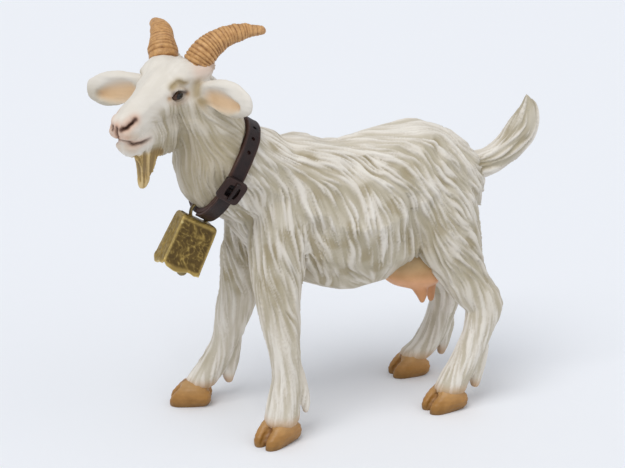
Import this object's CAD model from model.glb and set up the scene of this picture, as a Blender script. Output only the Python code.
# A small moulded and hand-painted goat figurine, with a buckled collar and a cow bell.
import math

import bmesh
import bpy
import numpy as np
from mathutils import Matrix, Vector


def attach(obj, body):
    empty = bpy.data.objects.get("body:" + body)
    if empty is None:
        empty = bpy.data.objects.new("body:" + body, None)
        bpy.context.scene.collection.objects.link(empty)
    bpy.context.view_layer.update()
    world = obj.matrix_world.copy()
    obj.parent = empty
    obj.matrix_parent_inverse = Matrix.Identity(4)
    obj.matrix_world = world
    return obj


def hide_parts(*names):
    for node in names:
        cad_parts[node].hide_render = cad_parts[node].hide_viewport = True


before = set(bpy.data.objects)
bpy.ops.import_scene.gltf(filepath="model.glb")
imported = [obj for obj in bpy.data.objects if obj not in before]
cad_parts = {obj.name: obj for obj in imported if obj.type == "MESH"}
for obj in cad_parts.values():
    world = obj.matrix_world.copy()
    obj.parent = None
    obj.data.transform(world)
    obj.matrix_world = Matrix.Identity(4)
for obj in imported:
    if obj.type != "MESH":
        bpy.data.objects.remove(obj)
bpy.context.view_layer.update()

# The sculptor's plan is in millimetres: the goat faces -X, its left side is towards -Y, soles at z = 0.
# PLAN_SHIFT brings that plan onto the frame.
PLAN_SHIFT = (2.58, -0.12, 0.0)
TO_METRES = Matrix.Scale(0.001, 4) @ Matrix.Translation(PLAN_SHIFT)


# ------------------------------------------------------------------ the head's own axes

HEAD_CENTRE = Vector((-30.3, -3.5, 56.1))
HEAD_YAW, HEAD_PITCH, HEAD_ROLL = (math.radians(a) for a in (36, 4, -2))
_level = Vector((-math.cos(HEAD_YAW), -math.sin(HEAD_YAW), 0))
_side = Vector((math.sin(HEAD_YAW), -math.cos(HEAD_YAW), 0))
_up = _level * math.sin(HEAD_PITCH) + Vector((0, 0, math.cos(HEAD_PITCH)))
FORWARD = _level * math.cos(HEAD_PITCH) - Vector((0, 0, math.sin(HEAD_PITCH)))
LEFT = _side * math.cos(HEAD_ROLL) + _up * math.sin(HEAD_ROLL)
UP = _up * math.cos(HEAD_ROLL) - _side * math.sin(HEAD_ROLL)
HEAD_AXES = Matrix((FORWARD, LEFT, UP)).transposed()
ON_HEAD = Matrix.Translation(HEAD_CENTRE) @ HEAD_AXES.to_4x4()


def on_head(forward, left, up):
    """A point on the plan, from its place in front of, left of and above the middle of the brow."""
    return HEAD_CENTRE + FORWARD * forward + LEFT * left + UP * up


# ------------------------------------------------------------------ mesh helpers

def mesh_object(name, mesh):
    piece = bpy.data.objects.new(name, mesh)
    bpy.context.scene.collection.objects.link(piece)
    return piece


def finish_bmesh(bm, name, smooth=True):
    """Turns a bmesh in plan millimetres into a finished object in metres."""
    bm.transform(TO_METRES)
    mesh = bpy.data.meshes.new(name)
    bm.to_mesh(mesh)
    bm.free()
    mesh.polygons.foreach_set("use_smooth", [smooth] * len(mesh.polygons))
    return mesh_object(name, mesh)


def ready(piece, material, slot, rides, *stands_for):
    """The last step for every piece: its paint, its slot, its body, and the node it stands for."""
    piece.data.materials.append(material)
    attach(piece, rides)
    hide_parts(*stands_for)


def applied(piece):
    """The mesh that an object's modifiers make, on its own."""
    bpy.context.view_layer.update()
    graph = bpy.context.evaluated_depsgraph_get()
    mesh = bpy.data.meshes.new_from_object(piece.evaluated_get(graph), depsgraph=graph)
    old = piece.data
    piece.modifiers.clear()
    piece.data = mesh
    bpy.data.meshes.remove(old)
    return mesh


def curve_through(points, steps):
    """Points along a smooth curve that passes through the given ones (any number of values each)."""
    p = np.array(points, float)
    p = np.vstack([2 * p[0] - p[1], p, 2 * p[-1] - p[-2]])
    out = []
    for i in range(1, len(p) - 2):
        for k in range(steps):
            t = k / steps
            out.append(0.5 * (2 * p[i] + (p[i + 1] - p[i - 1]) * t
                              + (2 * p[i - 1] - 5 * p[i] + 4 * p[i + 1] - p[i + 2]) * t * t
                              + (3 * p[i] - p[i - 1] - 3 * p[i + 1] + p[i + 2]) * t ** 3))
    out.append(p[-2])
    return np.array(out)


def swell(bm, stations, steps=2, place=Matrix.Identity(4), detail=2):
    """Adds a limb to bm: the skin stretched over a run of egg shapes (x, y, z, rx, ry, rz)."""
    run = curve_through(stations, steps) if len(stations) > 2 else np.array(stations, float)
    for a, b in zip(run[:-1], run[1:]):
        part = bmesh.new()
        for x, y, z, rx, ry, rz in (a, b):
            scale = Matrix.Diagonal((rx, ry, rz, 1))
            matrix = place @ Matrix.Translation((x, y, z)) @ scale
            bmesh.ops.create_icosphere(part, subdivisions=detail, radius=1, matrix=matrix)
        bmesh.ops.delete(part, geom=part.faces[:] + part.edges[:], context="EDGES_FACES")
        made = bmesh.ops.convex_hull(part, input=part.verts[:])
        inside = [v for v in made["geom_interior"] + made["geom_unused"] if isinstance(v, bmesh.types.BMVert)]
        bmesh.ops.delete(part, geom=list(set(inside)), context="VERTS")
        bmesh.ops.recalc_face_normals(part, faces=part.faces[:])
        temporary = bpy.data.meshes.new("part")
        part.to_mesh(temporary)
        part.free()
        bm.from_mesh(temporary)
        bpy.data.meshes.remove(temporary)
    return run


# ------------------------------------------------------------------ clay: a dense skin that can be sculpted

class Clay:
    """A dense closed skin in plan millimetres, with the sculptor's strokes as its methods."""

    STROKE_ROOM = 8      # a stroke is felt no further than this from its path, in mm
    FAR = 1e3            # stands for "nowhere near"

    def __init__(self, bm, voxel, relax):
        mesh = bpy.data.meshes.new("clay")
        bm.to_mesh(mesh)
        bm.free()
        self.piece = mesh_object("clay", mesh)
        fuse = self.piece.modifiers.new("fuse", "REMESH")
        fuse.mode = "VOXEL"
        fuse.voxel_size = voxel
        fuse.adaptivity = 0
        self.mesh = applied(self.piece)
        self.step = voxel
        count = len(self.mesh.vertices)
        self.co = np.empty(count * 3)
        self.mesh.vertices.foreach_get("co", self.co)
        self.co = self.co.reshape(-1, 3)
        edges = np.empty(len(self.mesh.edges) * 2, dtype=np.int64)
        self.mesh.edges.foreach_get("vertices", edges)
        self.edges = edges.reshape(-1, 2)
        both = np.vstack([self.edges, self.edges[:, ::-1]])
        both = both[np.argsort(both[:, 0], kind="stable")]
        self.valence = np.bincount(both[:, 0], minlength=count)
        starts = np.concatenate([[0], np.cumsum(self.valence)[:-1]])
        column = np.arange(len(both)) - starts[both[:, 0]]
        self.near = np.tile(np.arange(count)[:, None], (1, int(self.valence.max())))
        self.near[both[:, 0], column] = both[:, 1]
        self.relax(relax)

    def normals(self):
        self.mesh.vertices.foreach_set("co", self.co.ravel())
        self.mesh.update()
        n = np.empty(len(self.co) * 3)
        self.mesh.vertex_normals.foreach_get("vector", n)
        return n.reshape(-1, 3)

    def mean(self, values):
        """Each vertex's neighbours' average."""
        total = values[self.near].sum(axis=1)
        spare = self.near.shape[1] - self.valence
        if values.ndim > 1:
            return (total - values * spare[:, None]) / self.valence[:, None]
        return (total - values * spare) / self.valence

    def relax(self, times, where=None, strength=0.5):
        """Smooths, with a push back after each pass so that thin limbs don't waste away."""
        for _ in range(times):
            for factor in (strength, -strength * 0.98):
                step = (self.mean(self.co) - self.co) * factor
                if where is not None:
                    step = step * where[:, None]
                self.co = self.co + step

    def soften(self, times, where=None, strength=0.5):
        for _ in range(times):
            step = (self.mean(self.co) - self.co) * strength
            if where is not None:
                step = step * where[:, None]
            self.co = self.co + step

    def reach(self, path):
        """Each vertex's distance to a path, and how far along it the nearest point is, 0 to 1."""
        path = np.array([tuple(p) for p in path], float)
        low, high = path.min(axis=0) - self.STROKE_ROOM, path.max(axis=0) + self.STROKE_ROOM
        here = np.where(np.all((self.co > low) & (self.co < high), axis=1))[0]
        best = np.full(len(self.co), self.FAR)
        share = np.zeros(len(self.co))
        if len(path) == 1:
            best[here] = np.linalg.norm(self.co[here] - path[0], axis=1)
            return best, share
        lengths = np.linalg.norm(np.diff(path, axis=0), axis=1)
        total, so_far = lengths.sum(), 0.0
        p = self.co[here]
        for a, b, length in zip(path[:-1], path[1:], lengths):
            t = np.clip(((p - a) @ (b - a)) / max(length * length, 1e-9), 0, 1)
            d = np.linalg.norm(p - (a + t[:, None] * (b - a)), axis=1)
            closer = d < best[here]
            best[here[closer]] = d[closer]
            share[here[closer]] = (so_far + t[closer] * length) / total
            so_far += length
        return best, share

    def on_skin(self, points, steps=6):
        """A smooth path through the points, laid onto the skin."""
        path = np.array([tuple(p) for p in points], float)
        if len(points) > 1:
            path = curve_through(path, steps)
        laid = np.array([self.co[np.argmin(np.sum((self.co - p) ** 2, axis=1))] for p in path])
        for _ in range(3):
            laid[1:-1] = (laid[:-2] + 2 * laid[1:-1] + laid[2:]) / 4
        return laid

    def spot(self, path, width, sharp=2.0, taper=(0.0, 0.0)):
        """1 on a path, falling to 0 away from it: for paint as well as for strokes."""
        distance, share = self.reach(path)
        profile = np.exp(-(distance / width) ** sharp)
        if len(path) > 1:
            if taper[0] > 0:
                profile = profile * np.clip(share / taper[0], 0, 1) ** 0.7
            if taper[1] > 0:
                profile = profile * np.clip((1 - share) / taper[1], 0, 1) ** 0.7
        return profile

    def stroke(self, path, width, lift, towards=None, taper=(0.25, 0.25), sharp=2.0, side=None):
        """Raises (lift > 0) or carves (lift < 0) the skin along a path. width is the half width."""
        profile = self.spot(path, width, sharp, taper)
        normals = self.normals()
        if side is not None:
            profile = profile * np.clip(normals @ np.array(side, float) * 2.0, 0, 1)
        direction = normals if towards is None else np.array(tuple(towards), float)
        self.co = self.co + direction * (profile * lift)[:, None]
        return profile


def lattice(p, seed):
    """Smooth random values in space, -1 to 1, one per unit cell corner, blended between."""
    cell = np.floor(p).astype(np.int64)
    f = p - cell
    f = f * f * f * (f * (f * 6 - 15) + 10)
    total = np.zeros(len(p))
    for dx in (0, 1):
        for dy in (0, 1):
            for dz in (0, 1):
                h = ((cell[:, 0] + dx) * 374761393 + (cell[:, 1] + dy) * 668265263
                     + (cell[:, 2] + dz) * 2147483647 + seed * 1274126177)
                h = (h ^ (h >> 13)) * 1103515245
                h = (h ^ (h >> 16)) & 0xFFFFFF
                weight = (np.where(dx, f[:, 0], 1 - f[:, 0]) * np.where(dy, f[:, 1], 1 - f[:, 1])
                          * np.where(dz, f[:, 2], 1 - f[:, 2]))
                total += weight * (h / 0x7FFFFF - 1.0)
    return total


def unit(v):
    return v / np.maximum(np.linalg.norm(v, axis=-1, keepdims=True), 1e-9)


def both_sides(strokes):
    """Combing for one side of a body that is the same on the other side (left is towards -Y)."""
    return strokes + [((x, -y, z), (dx, -dy, dz)) for (x, y, z), (dx, dy, dz) in strokes]


def comb(clay, normals, strokes, reach):
    """The way the hair lies at each vertex, from a few combed strokes: (place, direction)."""
    total = np.zeros_like(clay.co)
    for place, way in strokes:
        weight = 1.0 / (0.5 + np.sum((clay.co - np.array(tuple(place))) ** 2, axis=1) / reach ** 2) ** 2
        total += weight[:, None] * unit(np.array(tuple(way), float))
    total -= normals * np.sum(total * normals, axis=1)[:, None]
    return unit(total)


def strands(clay, normals, way, pitch, length, seed):
    """Long wavy strands that follow the hair: the result averages 0 and crosses it at every groove."""
    seeded = lattice(clay.co / pitch, seed) + 0.3 * lattice(clay.co / (pitch * 0.5), seed + 7)
    total = seeded.copy()
    weight_sum = 1.0
    hops = int(length / clay.step)
    for sign in (1, -1):
        at = np.arange(len(clay.co))
        place = clay.co.copy()
        for hop in range(1, hops + 1):
            n = normals[at]
            place = place + way[at] * sign * clay.step
            place = place - n * np.sum((place - clay.co[at]) * n, axis=1)[:, None]
            choices = np.concatenate([clay.near[at], at[:, None]], axis=1)
            gap = np.linalg.norm(clay.co[choices] - place[:, None, :], axis=2)
            at = choices[np.arange(len(at)), np.argmin(gap, axis=1)]
            weight = math.exp(-(1.6 * hop / hops) ** 2)
            total += weight * seeded[at]
            weight_sum += weight
    total /= weight_sum
    return total / total.std()


def egg_reach(co, run, place=Matrix.Identity(4)):
    """How far each point is outside the nearest egg shape of a run, as a share of its size."""
    p = (co - np.array(place.translation)) @ np.array(place.to_3x3())
    best = np.full(len(co), Clay.FAR)
    for x, y, z, rx, ry, rz in run:
        best = np.minimum(best, np.linalg.norm((p - (x, y, z)) / (rx, ry, rz), axis=1))
    return best


def grow_locks(clay, strokes, reach, swirls, kinds):
    """Combs the skin, turns the hair a little in swirls of (turn, size, seed), and lays strands along it.
    kinds are (share, pitch, length, seed). Gives the normals and how high each place stands in its lock."""
    normals = clay.normals()
    way = comb(clay, normals, strokes, reach)
    swirl = sum(turn * lattice(clay.co / size, seed) for turn, size, seed in swirls)
    way = unit(way * np.cos(swirl)[:, None] + np.cross(normals, way) * np.sin(swirl)[:, None])
    height = sum(share * lock_height(strands(clay, normals, way, *kind)) for share, *kind in kinds)
    return normals, height


def write_values(mesh, name, values):
    attribute = mesh.attributes.new(name, "FLOAT", "POINT")
    attribute.data.foreach_set("value", values.astype(np.float32))


def finish_clay(clay, name, values):
    """Turns a whole clay into a finished object in metres, with its own values for the paint."""
    clay.normals()
    for key, value in values.items():
        write_values(clay.mesh, key, value)
    clay.mesh.transform(TO_METRES)
    clay.mesh.polygons.foreach_set("use_smooth", [True] * len(clay.mesh.polygons))
    clay.piece.name = name
    return clay.piece


def split_pieces(clay, owners, names, values):
    """Cuts the clay into named closed pieces, each with the whole skin's smooth normals and its values."""
    normals = clay.normals()
    face_count = len(clay.mesh.polygons)
    corner = np.empty(len(clay.mesh.loops), dtype=np.int64)
    clay.mesh.loops.foreach_get("vertex_index", corner)
    start = np.empty(face_count, dtype=np.int64)
    clay.mesh.polygons.foreach_get("loop_start", start)
    centres_owner = owners[:, corner[start]]
    for k in (1, 2, 3):
        centres_owner = centres_owner + owners[:, corner[start + k]]
    belongs = settled(clay.mesh, np.argmin(centres_owner, axis=0))
    made = {}
    for index, name in enumerate(names):
        if name is None:
            continue
        mesh = clay.mesh.copy()
        mesh.name = name
        for key, value in values.items():
            write_values(mesh, key, value)
        for key, axis in (("nx", 0), ("ny", 1), ("nz", 2)):
            write_values(mesh, key, normals[:, axis])
        part = bmesh.new()
        part.from_mesh(mesh)
        part.faces.ensure_lookup_table()
        gone = [part.faces[i] for i in np.where(belongs != index)[0]]
        bmesh.ops.delete(part, geom=gone, context="FACES")
        cap(part)
        part.to_mesh(mesh)
        part.free()
        n = np.empty((len(mesh.vertices), 3))
        for key, axis in (("nx", 0), ("ny", 1), ("nz", 2)):
            column = np.empty(len(mesh.vertices))
            mesh.attributes[key].data.foreach_get("value", column)
            n[:, axis] = column
        for key in ("nx", "ny", "nz"):
            mesh.attributes.remove(mesh.attributes[key])
        mesh.polygons.foreach_set("use_smooth", [True] * len(mesh.polygons))
        mesh.transform(TO_METRES)
        mesh.normals_split_custom_set_from_vertices([tuple(row) for row in unit(n)])
        made[name] = mesh_object(name, mesh)
    return made


def settled(mesh, belongs):
    """Gives every small island of faces to the piece round it, so each piece is one patch."""
    bm = bmesh.new()
    bm.from_mesh(mesh)
    bm.faces.ensure_lookup_table()
    belongs = belongs.copy()
    seen, patches = np.zeros(len(belongs), bool), {}
    for face in bm.faces:
        if seen[face.index]:
            continue
        label, patch, stack, border = belongs[face.index], [], [face], []
        seen[face.index] = True
        while stack:
            f = stack.pop()
            patch.append(f.index)
            for edge in f.edges:
                for other in edge.link_faces:
                    if belongs[other.index] != label:
                        border.append(other.index)
                    elif not seen[other.index]:
                        seen[other.index] = True
                        stack.append(other)
        patches.setdefault(label, []).append((patch, border))
    bm.free()
    for found in patches.values():
        found.sort(key=lambda item: len(item[0]))
        for patch, border in found[:-1]:
            if border:
                belongs[patch] = np.bincount(belongs[border]).argmax()
    return belongs


SKIRT = 0.5      # how far a piece's edge goes in under its neighbour's skin, in mm


def cap(bm):
    """Closes each open rim with a short skirt under the skin and a cone that points into the body."""
    rim = [e for e in bm.edges if e.is_boundary]
    unseen = set(rim)
    while unseen:
        loop, stack = [], [unseen.pop()]
        while stack:
            edge = stack.pop()
            loop.append(edge)
            for vert in edge.verts:
                for other in vert.link_edges:
                    if other in unseen:
                        unseen.discard(other)
                        stack.append(other)
        verts = list({v for e in loop for v in e.verts})
        centre = sum((v.co for v in verts), Vector()) / len(verts)
        size = sum((v.co - centre).length for v in verts) / len(verts)
        inward = -sum((v.normal for v in verts), Vector()) / len(verts)
        tip = bm.verts.new(centre + inward * size * 0.6)
        under = {v: bm.verts.new(v.co - v.normal * SKIRT) for v in verts}
        for edge in loop:
            a, b = edge.verts
            face = edge.link_faces[0]
            corners = list(face.verts)
            forward = corners[(corners.index(a) + 1) % len(corners)] == b
            if forward:
                a, b = b, a
            bm.faces.new((a, b, under[b], under[a]))
            bm.faces.new((under[a], under[b], tip))


# ------------------------------------------------------------------ materials

def srgb(code):
    """A linear colour from an sRGB hex value."""
    channels = [int(code[i:i + 2], 16) / 255 for i in (0, 2, 4)]
    return tuple(c / 12.92 if c <= 0.04045 else ((c + 0.055) / 1.055) ** 2.4 for c in channels) + (1.0,)


def node(tree, kind, output, settings=None, inputs=None, stops=()):
    """Adds a node with its settings, its links and values, and any (place, hex colour) stops.
    Gives the output that is asked for."""
    made = tree.nodes.new(kind)
    for key, value in (settings or {}).items():
        setattr(made, key, value)
    for key, value in (inputs or {}).items():
        if isinstance(value, bpy.types.NodeSocket):
            tree.links.new(value, made.inputs[key])
        else:
            made.inputs[key].default_value = value
    if stops:
        elements = made.color_ramp.elements
        while len(elements) < len(stops):
            elements.new(0.5)
        for element, (place, code) in zip(elements, stops):
            element.position = place
            element.color = srgb(code)
    return made.outputs[output]


def start_material(name):
    material = bpy.data.materials.new(name)
    material.use_nodes = True
    tree = material.node_tree
    return material, tree, tree.nodes["Principled BSDF"]


def own_value(tree, name):
    """A value that the sculpting left on the piece's own skin; anything but a name is handed back."""
    if not isinstance(name, str):
        return name
    return node(tree, "ShaderNodeAttribute", "Fac", {"attribute_name": name})


def speckle(tree, size_mm, detail=3.0, roughness=0.55):
    """Blotches of about the given size in millimetres, 0 to 1, fixed to the piece."""
    place = node(tree, "ShaderNodeTexCoord", "Object")
    return node(tree, "ShaderNodeTexNoise", "Fac", None,
                {"Vector": place, "Scale": 1000.0 / size_mm, "Detail": detail, "Roughness": roughness})


def graded(tree, by, *stops):
    """Paint that goes from one colour to the next as a value or a pattern rises."""
    return node(tree, "ShaderNodeValToRGB", "Color", None, {"Fac": own_value(tree, by)}, stops)


def painted_over(tree, base, cover, paint):
    """A layer of paint over the base, as thick as cover says."""
    paint = srgb(paint) if isinstance(paint, str) else paint
    return node(tree, "ShaderNodeMix", 2, {"data_type": "RGBA"},
                {0: own_value(tree, cover), 6: base, 7: paint})


def last_coat(tree, shader, base, gloss, grain=None):
    """Puts the colour on with its gloss, over a mould's grain of (size mm, detail, strength, depth mm)."""
    tree.links.new(base, shader.inputs["Base Color"])
    for name, value in gloss.items():
        shader.inputs[name].default_value = value
    if grain:
        size, detail, strength, depth = grain
        rough = node(tree, "ShaderNodeBump", "Normal", None,
                     {"Height": speckle(tree, size, detail), "Strength": strength, "Distance": depth / 1000})
        tree.links.new(rough, shader.inputs["Normal"])


PVC_IOR = 1.46       # painted PVC; the grain sizes below are coarser than a real mould's, so that they show


def painted_coat():
    """Moulded PVC sprayed cream, then washed with thin grey-beige that lies in the grooves.
    It gives the eye pale rounded locks with soft dirty hollows between, and a low satin sheen."""
    material, tree, shader = start_material("painted_pvc_coat")
    base = graded(tree, "groove", (0.0, "ada38a"), (0.35, "c6bdaa"), (0.65, "d9d1c4"), (1.0, "e8e2d7"))
    for value, paint in (("shade", "988863"), ("tan", "b5864a"), ("ochre", "9a8044"), ("inner", "e6bb86"),
                         ("blush", "d09672")):
        base = painted_over(tree, base, value, paint)
    golden = graded(tree, "groove", (0.1, "86671f"), (0.5, "b8954a"), (1.0, "dfc48a"))
    base = painted_over(tree, base, "golden", golden)
    blotches = graded(tree, speckle(tree, 3.0), (0.3, "c9c0ae"), (0.7, "f3eee8"))
    base = painted_over(tree, base, 0.10, blotches)
    base = painted_over(tree, base, "ink", "3d1c0c")
    last_coat(tree, shader, base, {"Roughness": 0.55, "IOR": PVC_IOR}, (0.25, 2.0, 0.12, 0.05))
    return material


# ------------------------------------------------------------------ body, sculpted as one skin

TRUNK = [
    (-13.4, 0, 37.6, 7.4, 7.2, 8.0),
    (-8.6, 0, 35.8, 8.6, 8.9, 11.5),
    (-1.0, 0, 33.1, 9.5, 10.0, 12.6),
    (6.6, 0, 34.3, 9.0, 9.4, 12.8),
    (12.8, 0, 37.4, 8.0, 8.2, 10.2),
    (17.9, 0, 36.6, 6.6, 6.6, 7.8),
]
NECK_BASE = [
    (-11.4, 0, 38.4, 7.6, 7.8, 8.4),
    (-15.6, -0.5, 40.8, 7.0, 7.5, 7.9),
    (-19.2, -1.1, 42.8, 7.2, 7.4, 7.5),
    (-21.6, -1.5, 46.0, 6.6, 6.8, 7.0),
]
FRONT_LEFT = [
    (-12.6, -4.6, 37.0, 4.6, 3.4, 5.6),
    (-13.0, -5.4, 32.4, 5.0, 3.9, 5.6),
    (-13.6, -6.2, 27.6, 4.4, 3.5, 4.6),
    (-14.0, -7.2, 22.9, 3.6, 3.0, 3.4),
    (-13.8, -8.1, 18.2, 3.0, 2.6, 3.0),
    (-13.5, -8.6, 15.0, 2.6, 2.4, 2.4),
    (-13.3, -8.8, 10.9, 2.35, 2.2, 2.4),
    (-13.6, -8.9, 7.6, 2.55, 2.4, 2.3),
    (-14.0, -9.0, 4.8, 2.8, 2.6, 2.0),
    (-14.2, -9.1, 3.6, 2.8, 2.6, 1.5),
]
FRONT_RIGHT = [
    (-12.8, 4.6, 37.0, 4.6, 3.4, 5.6),
    (-13.4, 5.4, 32.4, 5.0, 3.9, 5.6),
    (-14.2, 6.2, 27.4, 4.4, 3.5, 4.6),
    (-15.1, 7.3, 20.6, 3.6, 3.0, 3.6),
    (-16.0, 8.2, 16.0, 3.1, 2.6, 2.8),
    (-16.6, 8.9, 12.8, 2.6, 2.3, 2.4),
    (-17.4, 9.3, 10.0, 2.3, 2.2, 2.2),
    (-18.6, 9.7, 7.6, 2.4, 2.3, 2.0),
    (-20.0, 10.0, 5.4, 2.5, 2.4, 1.8),
    (-21.2, 10.3, 3.8, 2.6, 2.4, 1.5),
]
HIND_LEFT = [
    (13.0, -4.0, 38.6, 5.6, 3.6, 6.2),
    (14.4, -4.6, 33.6, 6.8, 4.2, 6.8),
    (16.0, -5.2, 28.6, 5.9, 3.9, 5.6),
    (17.8, -5.9, 24.0, 4.3, 3.4, 4.0),
    (19.8, -6.7, 20.2, 3.8, 2.9, 3.2),
    (21.9, -7.4, 17.4, 3.4, 2.6, 2.7),
    (21.2, -7.7, 14.6, 2.8, 2.4, 2.5),
    (20.4, -7.8, 12.2, 2.4, 2.2, 2.4),
    (19.3, -7.7, 9.6, 2.4, 2.2, 2.2),
    (18.0, -7.6, 7.0, 2.5, 2.3, 2.0),
    (16.8, -7.5, 5.0, 2.6, 2.4, 1.8),
    (16.2, -7.4, 3.6, 2.8, 2.5, 1.5),
]
HIND_RIGHT = [
    (12.6, 4.0, 38.6, 5.6, 3.6, 6.2),
    (14.0, 4.6, 33.6, 6.8, 4.2, 6.8),
    (15.4, 5.2, 28.6, 6.4, 3.9, 5.6),
    (18.0, 5.9, 24.0, 4.9, 3.4, 4.0),
    (21.0, 6.8, 19.6, 4.0, 2.9, 3.2),
    (22.6, 7.2, 16.4, 3.3, 2.6, 2.7),
    (22.4, 7.5, 13.2, 2.7, 2.4, 2.5),
    (21.6, 7.8, 10.2, 2.5, 2.3, 2.3),
    (20.4, 8.0, 7.2, 2.5, 2.3, 2.0),
    (18.9, 8.3, 5.0, 2.5, 2.4, 1.8),
    (17.2, 8.4, 3.6, 2.7, 2.5, 1.5),
]
TAIL = [
    (22.6, 0, 38.6, 2.4, 2.2, 2.6),
    (26.4, 0, 39.6, 2.2, 2.0, 2.2),
    (29.6, 0, 41.6, 2.4, 2.2, 2.6),
    (32.0, 0, 44.6, 2.5, 2.0, 3.0),
    (32.8, 0, 47.0, 1.7, 1.4, 2.4),
    (32.5, 0, 49.3, 0.6, 0.5, 0.9),
]
# Long hair that hangs behind each fetlock, and the dewclaws in it.
FEATHERS = {
    "front_left": [(-12.2, -8.8, 12.0, 1.5, 1.5, 2.0), (-10.9, -8.9, 8.6, 1.1, 1.2, 1.8),
                   (-10.2, -8.9, 6.0, 0.8, 0.9, 1.2), (-10.1, -8.9, 4.6, 0.45, 0.6, 0.6)],
    "front_right": [(-15.8, 9.2, 11.0, 1.5, 1.4, 1.8), (-15.9, 9.7, 7.4, 1.5, 1.3, 1.8),
                    (-16.4, 10.0, 4.8, 1.2, 1.1, 1.2), (-16.4, 10.0, 3.4, 0.7, 0.8, 0.6)],
    "hind_left": [(21.2, -7.8, 10.0, 1.6, 1.4, 2.0), (20.9, -7.6, 6.6, 1.3, 1.2, 1.8),
                  (20.7, -7.4, 4.4, 1.0, 1.0, 1.0), (20.7, -7.4, 3.4, 0.7, 0.8, 0.5)],
    "hind_right": [(23.2, 8.0, 8.6, 1.4, 1.3, 2.0), (22.8, 8.3, 5.4, 1.1, 1.1, 1.6),
                   (22.4, 8.4, 3.4, 0.7, 0.8, 0.8)],
}
LEGS = {"front_left": FRONT_LEFT, "front_right": FRONT_RIGHT,
        "hind_left": HIND_LEFT, "hind_right": HIND_RIGHT}

# How the coat is combed on the left side: a place on the body and the way the hair runs there.
# The right side is its mirror image.
BODY_COMB = [
    ((-14, -2, 47), (0.80, -0.30, -0.50)), ((-6, -2, 46), (0.80, -0.30, -0.52)),
    ((2, -2, 46), (0.82, -0.30, -0.48)),
    ((10, -2, 47), (0.86, -0.25, -0.44)), ((17, -2, 44), (0.80, -0.20, -0.60)),
    ((-16, -7, 43), (0.62, 0, -0.78)),
    ((-10, -8, 40), (0.66, 0, -0.75)), ((-2, -9, 40), (0.68, 0, -0.74)), ((6, -9, 41), (0.70, 0, -0.72)),
    ((13, -8, 41), (0.74, 0, -0.68)), ((18, -6, 39), (0.66, 0, -0.76)), ((-6, -10, 34), (0.46, 0, -0.88)),
    ((1, -10, 34), (0.48, 0, -0.88)), ((8, -9, 34), (0.42, 0, -0.90)), ((14, -9, 35), (0.66, 0, -0.74)),
    ((19, -6, 34), (0.52, 0, -0.84)), ((-4, -9, 27), (0.30, 0, -0.95)), ((3, -9, 27), (0.28, 0, -0.96)),
    ((9, -7, 27), (0.30, 0, -0.95)), ((15, -8, 29), (0.62, 0, -0.78)), ((19, -7, 26), (0.70, 0, -0.71)),
    ((22, -7, 19), (0.25, 0, -0.97)), ((-15, -9, 36), (0.30, 0, -0.95)), ((-13, -9, 31), (0.34, 0, -0.94)),
    ((-14, -9, 25), (0.30, 0, -0.95)), ((-20, -6, 41), (0.50, 0, -0.86)),
    ((-21, -1, 38), (0.20, -0.1, -0.97)),
    ((-19, -3, 32), (0.15, -0.1, -0.98)), ((-14, -8, 16), (0.12, 0, -0.99)), ((-14, -9, 8), (0.05, 0, -1)),
    ((19, -8, 10), (-0.30, 0, -0.95)), ((17, -8, 4), (-0.2, 0, -0.98)), ((24, -1, 40), (0.9, 0, 0.3)),
    ((29, 0, 42), (0.75, 0, 0.65)), ((33, 0, 47), (0.3, 0, 0.95)),
]


# The collar's ring: its middle, the way down it, and the way along the neck towards the head.
COLLAR_CENTRE = np.array((-19.9, -1.2, 43.0))
COLLAR_DOWN = np.array((-0.54, 0.0, -0.842)) / math.hypot(0.54, 0.842)
COLLAR_ALONG = np.array((-0.842, 0.0, 0.54)) / math.hypot(0.54, 0.842)
COLLAR_LEFT = np.array((0.0, -1.0, 0.0))
COLLAR_LONG, COLLAR_WIDE = 8.3, 8.1      # half sizes to the outer face of the strap
STRAP_THICK, STRAP_WIDTH = 0.8, 2.4


def collar_bow(angle):
    """How far the strap strays towards the head, all round from the throat."""
    return 0.35 * (1 - np.cos(angle)) + 0.8 * np.sin(angle) ** 2


def collar_height(co):
    """How far points are up the neck from the middle of the collar."""
    p = co - COLLAR_CENTRE
    angle = np.arctan2((p @ COLLAR_LEFT) / COLLAR_WIDE, (p @ COLLAR_DOWN) / COLLAR_LONG)
    return p @ COLLAR_ALONG - collar_bow(angle)


def tuck_under_collar(clay):
    """Presses the coat in where the strap goes round it."""
    height = collar_height(clay.co)
    p = clay.co - COLLAR_CENTRE
    down, left = p @ COLLAR_DOWN, p @ COLLAR_LEFT
    room = STRAP_THICK + 0.06
    share = np.sqrt((down / (COLLAR_LONG - room)) ** 2 + (left / (COLLAR_WIDE - room)) ** 2)
    beside = np.clip((np.abs(height) - STRAP_WIDTH / 2 - 0.1) / 1.6, 0, 1)
    most = 1.0 + 0.16 * np.sqrt(beside)
    shrink = np.where((share > most) & (np.abs(height) < 3.0), most / share, 1.0)
    out = COLLAR_DOWN[None] * down[:, None] + COLLAR_LEFT[None] * left[:, None]
    clay.co = clay.co + out * (shrink - 1)[:, None]


def smoothstep(low, high, x):
    t = np.clip((x - low) / (high - low), 0, 1)
    return t * t * (3 - 2 * t)


def lock_height(n):
    """Crisp pale ridges over wider valleys: 0 in a valley, 1 on the ridge of a lock."""
    return smoothstep(-1.1, 1.6, n)


TRUNK_LOCKS, LEG_LOCKS = 0.58, 0.26      # how deep the sculpted hair is, in mm
NOT_THIS = 9.0                           # an egg_reach that no place on the skin has


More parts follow.
